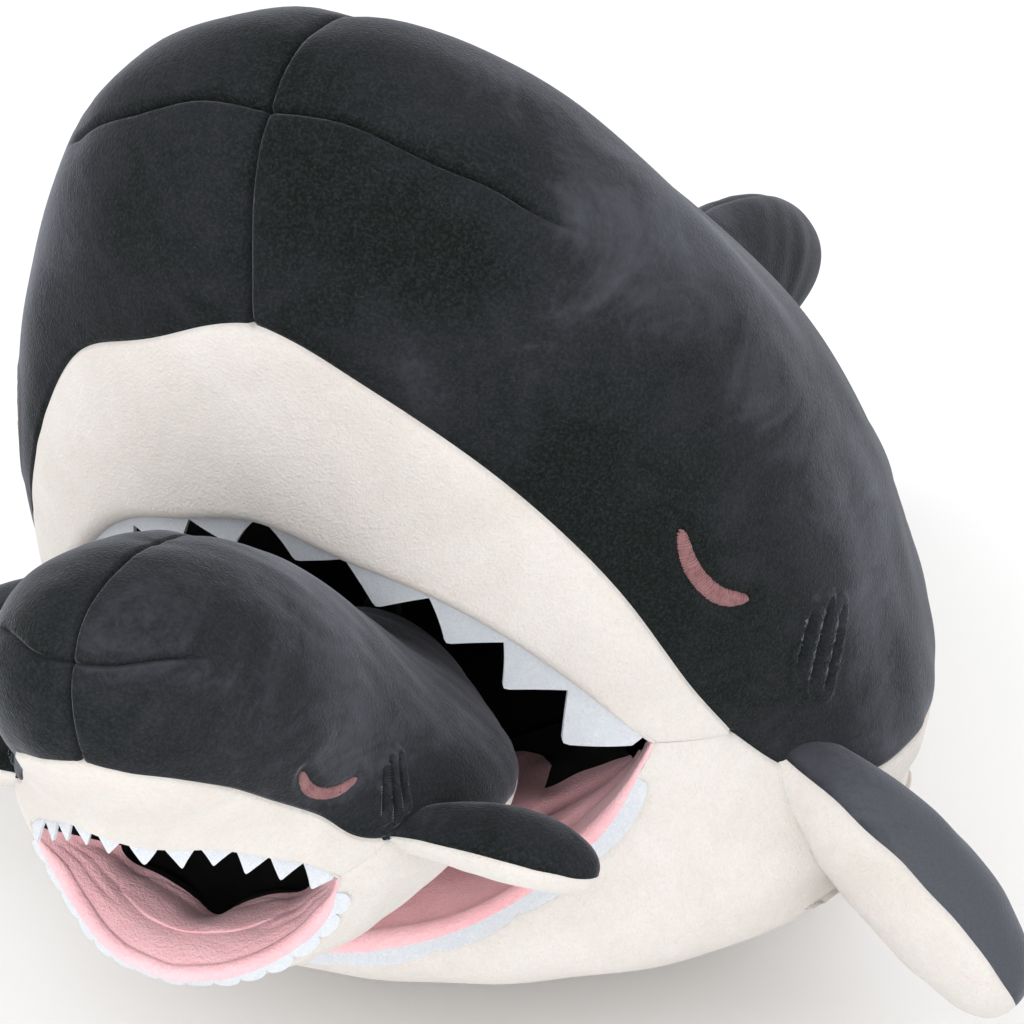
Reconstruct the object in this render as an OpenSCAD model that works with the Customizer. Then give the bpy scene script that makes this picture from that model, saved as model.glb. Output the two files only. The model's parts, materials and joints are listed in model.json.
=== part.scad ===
// Plush shark with a smaller shark of the same pattern held in its open mouth.
// Each shark is sewn from panels laid over one smooth stuffed form.  The large shark faces -Y and
// rests its belly on z = 0.  The small one is drawn in its own frame and then set in the mouth.

/* [Fabric] */
// Thickness of the large shark's short-pile plush
plush = 1.6; // [1.2:0.1:2]
// Thickness of the small shark's plush
small_plush = 1.2; // [0.8:0.1:1.5]
// Thickness of the felt that the teeth are cut from
felt = 1.2; // [0.8:0.1:1.5]
// Space left between a panel and the filling under it
ease = 0.25; // [0.2:0.05:0.4]

/* [Small shark] */
// How far the small shark's head centre stands in front of the body centre
pup_forward = 144; // [140:1:160]
// Height of the small shark's head centre above the floor
pup_height = 177; // [172:1:177]
// Sideways place of the small shark's head centre
pup_side = 9; // [6:1:12]
// Turn of the small shark about the vertical
pup_turn = 7; // [5:0.5:9]

/* [Teeth] */
// Teeth along the large shark's upper lip, and along its lower one
upper_count = 10; // [8:1:15]
// Height scale of the large shark's teeth, which grow towards the corners
tooth = 13; // [8:1:15]
// Teeth along the small shark's upper lip
pup_upper_count = 11; // [9:2:15]
// Teeth along the small shark's lower lip
pup_lower_count = 15; // [11:2:19]
// Height of the small shark's upper teeth
pup_tooth = 7; // [5:0.5:8]

/* [Fins] */
// Half width of a pectoral fin
fin_half_width = 33; // [26:1:36]
// Half thickness of a stuffed pectoral fin
fin_half_thick = 22; // [14:1:24]
// Half width of the dorsal fin
dorsal_half_width = 33; // [24:1:36]
// Half thickness of the dorsal fin
dorsal_half_thick = 19; // [12:1:22]
// Half width of a small pectoral fin
pup_fin_half_width = 20; // [14:1:22]
// Half thickness of a small pectoral fin
pup_fin_half_thick = 11; // [8:1:13]

/* [Hidden] */

charcoal = [0.24, 0.24, 0.27];
cream = [0.96, 0.93, 0.89];
pink = [0.80, 0.53, 0.57];
palate_black = [0.06, 0.06, 0.07];
felt_white = [0.90, 0.92, 0.95];
eye_thread = [0.51, 0.33, 0.35];
gill_thread = [0.12, 0.12, 0.14];
fibre_white = [0.93, 0.93, 0.93];

origin_y = 101.1;           // the frame's origin stands this far behind the guide points' own
probe = 0.5;                // step of the numerical slope
tuck = 0.6;                 // the teeth's base line lies this far behind the lip's edge
corner_room = 1.3;          // the filling stands this many times further back at the mouth's corners

// Panels across half a shark, along the lip band, along the back, and into the mouth
across = 9;
band_rows = 3;
back_rows = 13;
pocket_rows = 5;

// A shark is [form, floor, lip, lower lip, band, ridge, side, keel, tail ring, throat, cloth].
// The form is a list of [centre, radii, nose-up pitch, blend]; tail ring and throat are
// [centre, half width, half height].  Guide points run from the middle to the shark's left.
big = [
  [[[0, 19, 216], [126, 168, 85], 58, 1],
   [[0, 86, 120], [151, 187, 130], 36, 75],
   [[0, 28, 63], [145, 118, 25], 0, 75],
   [[0, 225, 80], [92, 120, 72], 0, 60],
   [[0, 325, 58], [38, 85, 32], 0, 45]],
  0,
  [[0, -95, 213], [26, -93, 206], [54, -85, 195], [84, -67, 172], [103, -49, 148], [114, -36, 132]],
  [[0, -93, 66], [34, -91, 69], [61, -82, 77], [86, -64, 92], [104, -45, 111], [114, -36, 132]],
  [[0, -96, 281], [34, -92, 268], [63, -82, 248], [90, -67, 221], [110, -49, 189],
   [124, -26, 150], [133, -9, 127]],
  [[0, -96, 281], [0, -81, 349], [0, -15, 362], [0, 60, 315], [0, 135, 255], [0, 210, 195],
   [0, 280, 140], [0, 340, 95], [0, 385, 80]],
  [[133, -9, 127], [143, 5, 112], [154, 40, 93], [160, 100, 84], [146, 165, 78], [115, 230, 72],
   [72, 295, 66], [38, 345, 60], [26, 385, 58]],
  [[0, -93, 66], [0, -86, 44], [0, -50, 18], [0, 10, 3], [0, 90, 0], [0, 170, 0], [0, 240, 8],
   [0, 300, 22], [0, 345, 30], [0, 385, 36]],
  [[0, 385, 58], 27, 22],
  [[0, 52, 104], 56, 42],
  plush];

small = [
  [[[0, 0, 0], [56, 115, 49], 34, 1],
   [[0, 55, -50], [79, 93, 36], 17, 36],
   [[0, 16, -65], [41, 52, 18], -9, 43],
   [[0, 100, -52], [42, 48, 27], 0, 25]],
  -1000,
  [[0, -54, -23], [14, -53, -22], [27, -47, -24], [38, -36, -30], [46, -26, -36], [50, -21, -42]],
  [[0, -37, -79], [14, -35, -77], [27, -31, -73], [38, -23, -66], [46, -20, -55], [50, -21, -42]],
  [[0, -92, 25], [19, -84, 21], [34, -66, 10], [43, -44, -6], [50, -28, -18], [55, -18, -28],
   [63, -6, -34]],
  [[0, -92, 25], [0, -97, 61], [0, -70, 75], [0, -25, 63], [0, 20, 38], [0, 65, 2], [0, 105, -24],
   [0, 138, -42]],
  [[63, -6, -34], [73, 20, -47], [78, 52, -57], [70, 85, -59], [47, 112, -58], [22, 138, -54]],
  [[0, -37, -79], [0, -34, -86], [0, -15, -92], [0, 20, -95], [0, 60, -92], [0, 95, -80],
   [0, 120, -70], [0, 138, -62]],
  [[0, 138, -52], 18, 11],
  [[0, 6, -61], 31, 13],
  small_plush];

// ---------------------------------------------------------------- form

function unit(v) = v/max(norm(v), 1e-9);
function mix(a, b, t) = a*(1 - t) + b*t;
function mirrored(p) = [-p.x, p.y, p.z];

// Near-distance to one ellipsoid of a form
function ellipsoid(p, e) =
    let (q = p - e[0], c = cos(e[2]), s = sin(e[2]), r = e[1],
         w = [q.x, q.y*c - q.z*s, q.y*s + q.z*c],
         a = norm([w.x/r.x, w.y/r.y, w.z/r.z]),
         b = norm([w.x/(r.x*r.x), w.y/(r.y*r.y), w.z/(r.z*r.z)]))
    a*(a - 1)/max(b, 1e-9);

// Minimum with a rounded valley of size k
function soft_min(a, b, k) = let (h = max(k - abs(a - b), 0)/k) min(a, b) - h*h*k/4;

function blob(p, form, i) =
    i == 0 ? ellipsoid(p, form[0])
           : soft_min(blob(p, form, i - 1), ellipsoid(p, form[i]), form[i][3]);

// Negative inside the stuffed shark, zero on its surface, flattened on its floor
function field(p, s) = -soft_min(-blob(p, s[0], len(s[0]) - 1), p.z - s[1], 18);

function slope(p, s) = [for (d = [[probe, 0, 0], [0, probe, 0], [0, 0, probe]])
    (field(p + d, s) - field(p - d, s))/(2*probe)];
function normal(p, s) = unit(slope(p, s));

// The surface point near p, set flat on the floor where it meets it
function onto(p, s, n = 4) =
    n == 0 ? [p.x, p.y, abs(p.z - s[1]) < 0.05 ? s[1] : p.z]
           : let (g = slope(p, s)) onto(p - g*(field(p, s)/(g*g)), s, n - 1);

// ---------------------------------------------------------------- curves and patches

// Point at t = 0..1 on the smooth curve through pts
function along(pts, t) =
    let (m = len(pts) - 1, x = min(max(t, 0), 1)*m, i = min(floor(x), m - 1), u = x - i,
         b = pts[i], c = pts[i + 1],
         a = i > 0 ? pts[i - 1] : 2*b - c,
         d = i < m - 1 ? pts[i + 2] : 2*c - b)
    0.5*(2*b + (c - a)*u + (2*a - 5*b + 4*c - d)*u*u + (3*b - a - 3*c + d)*u*u*u);

function seam(pts, n, s) = [for (i = [0:n]) onto(along(pts, i/n), s)];

// Quarter of the tail ring from its top (up = 1) or bottom (up = -1) to the side
function ring_quarter(s, up) = [for (i = [0:across]) let (a = 90*i/across)
    onto(s[8][0] + [s[8][1]*sin(a), 0, up*s[8][2]*cos(a)], s)];

// Surface patch between four curves: from and to run across, first and last run along
function patch(from, to, first, last, s) =
    let (m = len(from) - 1, n = len(first) - 1)
    [for (i = [0:m]) [for (j = [0:n]) let (u = i/m, v = j/n)
        j == 0 ? from[i] : j == n ? to[i] : i == 0 ? first[j] : i == m ? last[j] :
        onto(mix(from[i], to[i], v) + mix(first[j], last[j], u)
             - mix(mix(from[0], from[m], u), mix(to[0], to[m], u), v), s)]];

function cheek(s) = [for (i = [0:band_rows])
    onto(mix(s[2][len(s[2]) - 1], s[6][0], i/band_rows), s)];
function band_half(s) = patch(seam(s[2], across, s), seam(s[4], across, s),
    [for (i = [0:band_rows]) onto(mix(s[2][0], s[4][0], i/band_rows), s)], cheek(s), s);
function back_half(s) = patch(seam(s[4], across, s), ring_quarter(s, 1),
    seam(s[5], back_rows, s), seam(s[6], back_rows, s), s);
function belly_half(s) =
    let (side = seam(s[6], back_rows, s), edge = cheek(s))
    patch(seam(s[3], across, s), ring_quarter(s, -1), seam(s[7], band_rows + back_rows, s),
          concat(edge, [for (i = [1:back_rows]) side[i]]), s);

// Both halves as one grid, from the shark's right to its left
function reversed(g) = [for (i = [len(g) - 1:-1:0]) g[i]];
function other_side(half) = reversed([for (row = half) [for (p = row) mirrored(p)]]);
function whole(half) = concat(other_side(half), [for (i = [1:len(half) - 1]) half[i]]);

// A grid moved into the form by depth
function sunk(g, depth, s) = [for (row = g) [for (p = row) p - depth*normal(p, s)]];

// ---------------------------------------------------------------- solids from grids

function flat(g) = [for (row = g) for (p = row) p];

// Closed sheet between two grids of the same size
module sheet(outer, inner, turned = false) {
    m = len(outer); n = len(outer[0]); k = m*n;
    skin = [for (i = [0:m - 2]) for (j = [0:n - 2]) let (a = i*n + j)
        each [[a, a + 1, a + n + 1], [a, a + n + 1, a + n]]];
    lining = [for (f = skin) [f[2] + k, f[1] + k, f[0] + k]];
    rim = concat([for (j = [0:n - 2]) [j, j + 1]], [for (i = [0:m - 2]) [i*n + n - 1, i*n + 2*n - 1]],
                 [for (j = [n - 1:-1:1]) [(m - 1)*n + j, (m - 1)*n + j - 1]],
                 [for (i = [m - 1:-1:1]) [i*n, (i - 1)*n]]);
    edge = [for (e = rim) each [[e[1], e[0], e[0] + k], [e[1], e[0] + k, e[1] + k]]];
    faces = concat(skin, lining, edge);
    polyhedron(flat(concat(outer, inner)),
               turned ? faces : [for (f = faces) [f[2], f[1], f[0]]]);
}

// Closed solid through rings of points, its two ends fanned from their middles
module lofted(rings, turned = false) {
    m = len(rings); n = len(rings[0]); k = m*n;
    ends = [for (r = [rings[0], rings[m - 1]]) [for (a = [0:2]) [for (p = r) p[a]]*[for (p = r) 1/n]]];
    wall = [for (i = [0:m - 2]) for (j = [0:n - 1]) let (a = i*n + j, b = i*n + (j + 1)%n)
        each [[a, b, b + n], [a, b + n, a + n]]];
    caps = [for (j = [0:n - 1]) let (b = (j + 1)%n)
        each [[b, j, k], [(m - 1)*n + j, (m - 1)*n + b, k + 1]]];
    faces = concat(wall, caps);
    polyhedron(concat(flat(rings), ends), turned ? [for (f = faces) [f[2], f[1], f[0]]] : faces);
}

// ---------------------------------------------------------------- mouth

// Point, outward normal and direction away from the mouth, at t = -1..1 along a lip
function lip_place(t, s, upper) =
    let (pts = upper ? s[2] : s[3], step = 0.01, g = t < 0 ? -1 : 1,
         p = onto(along(pts, abs(t)), s),
         q = onto(along(pts, abs(t) < 1 - step ? abs(t) + step : abs(t) - step), s),
         dir = unit(abs(t) < 1 - step ? q - p : p - q),
         n = normal(p, s), out = (upper ? 1 : -1)*cross(n, dir))
    g > 0 ? [p, n, out] : [mirrored(p), mirrored(n), mirrored(out)];

// Mouth surface from a lip to the throat, set back from the open space by depth
function pocket(s, upper, depth) =
    let (th = s[9], sign = upper ? 1 : -1)
    [for (i = [-across:across]) let (
        l = lip_place(i/across, s, upper), a = 90*i/across,
        start = l[0] - (s[10] + ease + depth/2)*l[1] + depth*l[2],
        end = th[0] + [(th[1] + depth)*sin(a), depth, sign*((th[2] + depth)*cos(a) + depth)])
        [for (j = [0:pocket_rows]) let (v = j/pocket_rows)
            mix(start, end, v) + [0, 0, sign*s[10]*6*sin(180*v)*cos(a)]]];

module palate_of(s) sheet(reversed(pocket(s, true, 0)), reversed(pocket(s, true, s[10])), true);
module lining_of(s) sheet(pocket(s, false, 0), pocket(s, false, s[10]), true);

// Zigzag strip of felt along a lip: the upper one hangs into the mouth, the lower one is folded out
// over the chin.  Heights are [valley, tip] at the middle and at the corners.
module teeth(s, upper, count, middle, corner, reach = 0.97, lean = 0.25) {
    places = [for (i = [0:2*count]) lip_place(reach*(i/count - 1), s, upper)];
    way = upper ? -1 : 1;
    front = [for (i = [0:2*count]) let (l = places[i], h = mix(middle[i%2], corner[i%2], abs(i/count - 1)),
        base = l[0] + (upper ? -tuck*(l[1] + l[2]) : (felt + tuck)*l[1]))
        [base, base + way*h*(l[2] + lean*l[1])]];
    back = [for (i = [0:2*count]) [for (p = front[i]) p - felt*places[i][1]]];
    sheet(front, back, true);
}

// A tongue that follows the lower lining
module tongue_of(s, wide, from, to, thick) {
    low = pocket(s, false, 0);
    m = 8; n = 8;
    function lining(a, v) = let (x = across*(1 + a), i = min(floor(x), 2*across - 1),
        y = v*pocket_rows, j = min(floor(y), pocket_rows - 1))
        mix(mix(low[i][j], low[i][j + 1], y - j), mix(low[i + 1][j], low[i + 1][j + 1], y - j), x - i);
    function place(i, j, top) = let (v = mix(from, to, j/n), w = sqrt(max(1 - pow(1 - j/n, 3), 0.05)),
        a = wide*w*(2*i/m - 1), rise = thick*sqrt(max(1 - pow(2*i/m - 1, 2), 0))*w)
        lining(a, v) + [0, 0, 0.6 + (top ? 0.4 + rise : 0)];
    sheet([for (i = [0:m]) [for (j = [0:n]) place(i, j, true)]],
          [for (i = [0:m]) [for (j = [0:n]) place(i, j, false)]], true);
}

// Body filling: from the throat's end out to the lips, then over the body to the tail ring
module stuffing(s) {
    in = s[10] + ease;
    edge = pocket(s, true, 0); up = pocket(s, true, in); bed = pocket(s, false, in);
    roof = [for (i = [0:2*across]) i%(2*across) > 0 ? up[i] : [for (j = [0:pocket_rows])
        edge[i][j] + corner_room*(up[i][j] + bed[i][j] - 2*edge[i][j])]];
    band = whole(band_half(s)); back = whole(back_half(s));
    top = sunk([for (i = [0:2*across]) concat(band[i], [for (j = [1:back_rows]) back[i][j]])], in, s);
    low = sunk(whole(belly_half(s)), in, s);
    rows = band_rows + back_rows; w = 2*across;
    function ring(a, b, j) = concat([for (i = [0:w]) a[i][j]], [for (i = [w - 1:-1:1]) b[i][j]]);
    rings = concat([for (j = [pocket_rows:-1:0]) ring(roof, bed, j)],
                   [for (j = [1:rows]) ring(top, low, j)]);
    lofted(rings);
}

// ---------------------------------------------------------------- stitched details

// Raised line of thread along guide points on the surface
module stitched(pts, s, wide, high, n = 8) {
    c = seam(pts, n, s);
    rings = [for (i = [0:n]) let (
        t = unit(c[min(i + 1, n)] - c[max(i - 1, 0)]), up = normal(c[i], s), side = cross(up, t),
        w = wide/2*sqrt(1.02 - pow(2*i/n - 1, 4)))
        [for (q = [[-1, 0.4], [1, 0.4], [0.7, 0.9], [0, 1], [-0.7, 0.9]])
            c[i] + w*q[0]*side + high*q[1]*up]];
    lofted(rings, true);
}

// ---------------------------------------------------------------- fins

// A fin is [root, tip, turn about its length, half width, half thickness, bow]
function fin_axes(f) = let (e = unit(f[1] - f[0]), b = unit(cross(e, [0, 0, 1])), c = cross(b, e),
    edge = cos(f[2])*c + sin(f[2])*b) [e, edge, cross(edge, e)];
function fin_width(u) = let (peak = 0.58, root = 0.5)
    u < peak ? root + (1 - root)*sin(90*u/peak) : sqrt(max(1 - pow((u - peak)/(1 - peak), 2), 0));
function fin_point(f, u, a, cut) = let (x = fin_axes(f), w = fin_width(u))
    mix(f[0], f[1], u) + 4*u*(1 - u)*f[5]*x[2]
    + (f[3] - cut)*w*cos(a)*x[1] + (f[4] - cut)*pow(w, 0.8)*sin(a)*x[2];

// Where a line along the fin leaves the body by gap
function fin_start(f, a, s, gap, lo = 0, hi = 0.9, n = 12) =
    n == 0 ? hi : let (m = (lo + hi)/2)
    field(fin_point(f, m, a, 0), s) > gap ? fin_start(f, a, s, gap, lo, m, n - 1)
                                          : fin_start(f, a, s, gap, m, hi, n - 1);

fin_rows = 9;
fin_sides = 6;
function fin_grid(f, s, gap, a0, cut, back = 0) = [for (i = [0:fin_sides])
    let (a = a0 + 180*i/fin_sides, u0 = fin_start(f, a, s, gap) + back)
    [for (j = [0:fin_rows]) fin_point(f, mix(u0, 0.998, sin(90*j/fin_rows)), a, cut)]];

module fin_cover(f, s, gap, a0, cloth) sheet(fin_grid(f, s, gap, a0, 0), fin_grid(f, s, gap, a0, cloth));
module fin_core(f, s, gap, cloth) {
    a = fin_grid(f, s, gap, 0, cloth + ease, 0.01);
    b = fin_grid(f, s, gap, 180, cloth + ease, 0.01);
    lofted([for (j = [0:fin_rows - 1]) concat([for (i = [0:fin_sides - 1]) a[i][j]],
                                              [for (i = [0:fin_sides - 1]) b[i][j]])], true);
}

big_fin = [[133, 22, 107], [222, 30, 24], 57, fin_half_width, fin_half_thick, 4.5];
dorsal_fin = [[0, 203, 181], [0, 403, 127], 0, dorsal_half_width, dorsal_half_thick, 0];
small_fin = [[62, 4, -36], [123, 14, -47], 76, pup_fin_half_width, pup_fin_half_thick, 3];
big_gap = 6;                // room left at each root for the fin to swing
dorsal_gap = 4;
small_gap = 3;

// Crescent tail fin: [middle, half height, sweep of the tips, half width, half thickness]
big_tail = [[0, 412, 42], 28, 16, 24, 9];
small_tail = [[0, 160, -52], 21, 8, 14, 5];
tail_rows = 12;
function tail_point(f, u, a, cut) = let (w = pow(max(1 - u*u, 0), 0.4))
    f[0] + [(f[4] - cut)*w*sin(a), f[2]*u*u + (f[3] - cut)*w*cos(a), f[1]*u];
function tail_grid(f, a0, cut, sides = 5) = [for (i = [0:sides]) [for (j = [0:tail_rows])
    tail_point(f, 0.99*sin(90*(2*j/tail_rows - 1)), a0 + 180*i/sides, cut)]];
module tail_cover(f, a0, cloth) sheet(tail_grid(f, a0, 0), tail_grid(f, a0, cloth), true);
module tail_core(f, cloth) {
    a = tail_grid(f, 0, cloth + ease);
    b = tail_grid(f, 180, cloth + ease);
    lofted([for (j = [1:tail_rows - 1]) concat([for (i = [0:4]) a[i][j]], [for (i = [0:4]) b[i][j]])]);
}

// ---------------------------------------------------------------- placing

module placed() translate([0, -origin_y, 0]) children();
module pup_placed() placed() translate([pup_side, -pup_forward, pup_height]) rotate([0, 0, pup_turn])
    children();
module right_side() mirror([1, 0, 0]) children();

// ---------------------------------------------------------------- sub-parts of both sharks

module back_of(s, left) {
    half = back_half(s);
    g = left ? half : other_side(half);
    sheet(g, sunk(g, s[10], s));
}
module band_of(s) { g = whole(band_half(s)); sheet(g, sunk(g, s[10], s)); }
module belly_of(s) { g = reversed(whole(belly_half(s))); sheet(g, sunk(g, s[10], s)); }

big_eye = [[121, -35, 211], [123, -33, 200], [127, -28, 190], [131, -21, 183], [136, -12, 179]];
small_eye = [[48, -43, 6], [48, -39, -1], [50, -31, -7], [54, -24, -9], [57, -19, -8]];
big_gills = [[[147, 18, 164], [146, 15, 154], [145, 13, 143]],
             [[149, 27, 163], [149, 23, 149], [147, 19, 135]],
             [[151, 36, 158], [151, 32, 145], [149, 27, 131]]];
small_gills = [[[60, -6, -11], [60, -8, -18], [60, -9, -25]],
               [[61, -2, -9], [62, -4, -18], [62, -5, -27]],
               [[63, 3, -10], [64, 1, -17], [65, -1, -25]]];

// ---------------------------------------------------------------- nodes: large shark

module back_left() color(charcoal) placed() back_of(big, true);
module back_right() color(charcoal) placed() back_of(big, false);
module lip_band() color(cream) placed() band_of(big);
module belly() color(cream) placed() belly_of(big);
module palate() color(palate_black) placed() palate_of(big);
module mouth_lining() color(pink) placed() lining_of(big);
module tongue() color(pink) placed() tongue_of(big, 0.42, 0.12, 0.85, 4);
module upper_teeth() color(felt_white) placed()
    teeth(big, true, upper_count, tooth*[0.04, 0.54], tooth*[0.46, 1.39]);
module lower_teeth() color(felt_white) placed()
    teeth(big, false, upper_count, tooth*[0.2, 0.36], tooth*[0.2, 0.36], 0.9, 0.1);
module eye_left() color(eye_thread) placed() stitched(big_eye, big, 6.5, 2);
module eye_right() color(eye_thread) placed() right_side() stitched(big_eye, big, 6.5, 2);
module gills_of_big() for (g = big_gills) stitched(g, big, 2, 1.2, 5);
module gills_left() color(gill_thread) placed() gills_of_big();
module gills_right() color(gill_thread) placed() right_side() gills_of_big();
module filling() color(fibre_white) placed() stuffing(big);

module fin_left_top() color(charcoal) placed() fin_cover(big_fin, big, big_gap, 0, plush);
module fin_left_under() color(cream) placed() fin_cover(big_fin, big, big_gap, 180, plush);
module fin_left_filling() color(fibre_white) placed() fin_core(big_fin, big, big_gap, plush);
module fin_right_top() color(charcoal) placed() right_side() fin_cover(big_fin, big, big_gap, 0, plush);
module fin_right_under() color(cream) placed() right_side() fin_cover(big_fin, big, big_gap, 180, plush);
module fin_right_filling() color(fibre_white) placed() right_side() fin_core(big_fin, big, big_gap, plush);
module dorsal_left() color(charcoal) placed() fin_cover(dorsal_fin, big, dorsal_gap, 180, plush);
module dorsal_right() color(charcoal) placed() fin_cover(dorsal_fin, big, dorsal_gap, 0, plush);
module dorsal_filling() color(fibre_white) placed() fin_core(dorsal_fin, big, dorsal_gap, plush);
module tail_left() color(charcoal) placed() tail_cover(big_tail, 0, plush);
module tail_right() color(charcoal) placed() tail_cover(big_tail, 180, plush);
module tail_filling() color(fibre_white) placed() tail_core(big_tail, plush);

// ---------------------------------------------------------------- nodes: small shark

module pup_back_left() color(charcoal) pup_placed() back_of(small, true);
module pup_back_right() color(charcoal) pup_placed() back_of(small, false);
module pup_lip_band() color(cream) pup_placed() band_of(small);
module pup_belly() color(cream) pup_placed() belly_of(small);
module pup_palate() color(palate_black) pup_placed() palate_of(small);
module pup_mouth_lining() color(pink) pup_placed() lining_of(small);
module pup_tongue() color(pink) pup_placed() tongue_of(small, 0.45, 0.1, 0.85, 4);
module pup_upper_teeth() color(felt_white) pup_placed()
    teeth(small, true, pup_upper_count, pup_tooth*[0.15, 1], pup_tooth*[0.15, 1], 0.97, -0.5);
module pup_lower_teeth() color(felt_white) pup_placed()
    teeth(small, false, pup_lower_count, pup_tooth*[0.2, 0.6], pup_tooth*[0.2, 0.6], 0.92, 0.3);
module pup_eye_left() color(eye_thread) pup_placed() stitched(small_eye, small, 4.4, 1.3);
module pup_eye_right() color(eye_thread) pup_placed() right_side() stitched(small_eye, small, 4.4, 1.3);
module gills_of_small() for (g = small_gills) stitched(g, small, 1.4, 0.9, 5);
module pup_gills_left() color(gill_thread) pup_placed() gills_of_small();
module pup_gills_right() color(gill_thread) pup_placed() right_side() gills_of_small();
module pup_filling() color(fibre_white) pup_placed() stuffing(small);

module small_cover(a0) fin_cover(small_fin, small, small_gap, a0, small_plush);
module small_core() fin_core(small_fin, small, small_gap, small_plush);
module pup_fin_left_top() color(charcoal) pup_placed() small_cover(0);
module pup_fin_left_under() color(cream) pup_placed() small_cover(180);
module pup_fin_left_filling() color(fibre_white) pup_placed() small_core();
module pup_fin_right_top() color(charcoal) pup_placed() right_side() small_cover(0);
module pup_fin_right_under() color(cream) pup_placed() right_side() small_cover(180);
module pup_fin_right_filling() color(fibre_white) pup_placed() right_side() small_core();
module pup_tail_left() color(charcoal) pup_placed() tail_cover(small_tail, 0, small_plush);
module pup_tail_right() color(charcoal) pup_placed() tail_cover(small_tail, 180, small_plush);
module pup_tail_filling() color(fibre_white) pup_placed() tail_core(small_tail, small_plush);

back_left();
back_right();
lip_band();
belly();
palate();
mouth_lining();
tongue();
upper_teeth();
lower_teeth();
eye_left();
eye_right();
gills_left();
gills_right();
filling();
fin_left_top();
fin_left_under();
fin_left_filling();
fin_right_top();
fin_right_under();
fin_right_filling();
dorsal_left();
dorsal_right();
dorsal_filling();
tail_left();
tail_right();
tail_filling();
pup_back_left();
pup_back_right();
pup_lip_band();
pup_belly();
pup_palate();
pup_mouth_lining();
pup_tongue();
pup_upper_teeth();
pup_lower_teeth();
pup_eye_left();
pup_eye_right();
pup_gills_left();
pup_gills_right();
pup_filling();
pup_fin_left_top();
pup_fin_left_under();
pup_fin_left_filling();
pup_fin_right_top();
pup_fin_right_under();
pup_fin_right_filling();
pup_tail_left();
pup_tail_right();
pup_tail_filling();
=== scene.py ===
"""Looks of a plush shark that holds a smaller plush shark in its mouth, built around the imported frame.

Every panel is laid over one smooth form per shark, the form that the frame's solids have.  Shapes are worked
out in millimetres, with the left side drawn and the right side mirrored, and become metres in add_mesh.
"""

import json
import math
from types import SimpleNamespace

import bpy
import numpy as np
from mathutils import Matrix, Vector


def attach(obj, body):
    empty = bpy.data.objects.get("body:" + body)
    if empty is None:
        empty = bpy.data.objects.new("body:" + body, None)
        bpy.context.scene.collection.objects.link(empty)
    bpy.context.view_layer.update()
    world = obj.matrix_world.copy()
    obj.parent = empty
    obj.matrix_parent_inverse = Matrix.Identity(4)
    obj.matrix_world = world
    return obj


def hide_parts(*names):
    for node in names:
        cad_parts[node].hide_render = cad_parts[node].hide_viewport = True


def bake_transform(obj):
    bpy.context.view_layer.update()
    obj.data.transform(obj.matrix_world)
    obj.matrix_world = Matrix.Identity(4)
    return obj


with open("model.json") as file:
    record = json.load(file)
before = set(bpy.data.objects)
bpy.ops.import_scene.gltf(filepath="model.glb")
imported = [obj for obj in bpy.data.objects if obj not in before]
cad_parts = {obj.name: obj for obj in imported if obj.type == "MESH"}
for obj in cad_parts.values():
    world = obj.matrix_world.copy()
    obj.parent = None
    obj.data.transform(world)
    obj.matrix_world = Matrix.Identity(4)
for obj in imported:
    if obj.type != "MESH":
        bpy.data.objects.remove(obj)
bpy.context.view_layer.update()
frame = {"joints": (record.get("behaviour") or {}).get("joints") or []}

MM = 0.001
ORIGIN_Y = 101.1  # the row frame's origin stands this far behind the guide points' own
MIRROR = np.array([-1.0, 1.0, 1.0])
FAR = 500  # further away than anything on the sharks
FLOOR_BLEND = 18  # softness of the edge between the flat underside and the sides
PUP_PLACE = np.array([9.0, -144.0, 177.0])
pull = next(j for j in frame["joints"] if j["name"] == "pup_pull")
PUP_TURN = math.atan2(pull["axis"][0], -pull["axis"][1])

# ---------------------------------------------------------------- the two sharks

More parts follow.
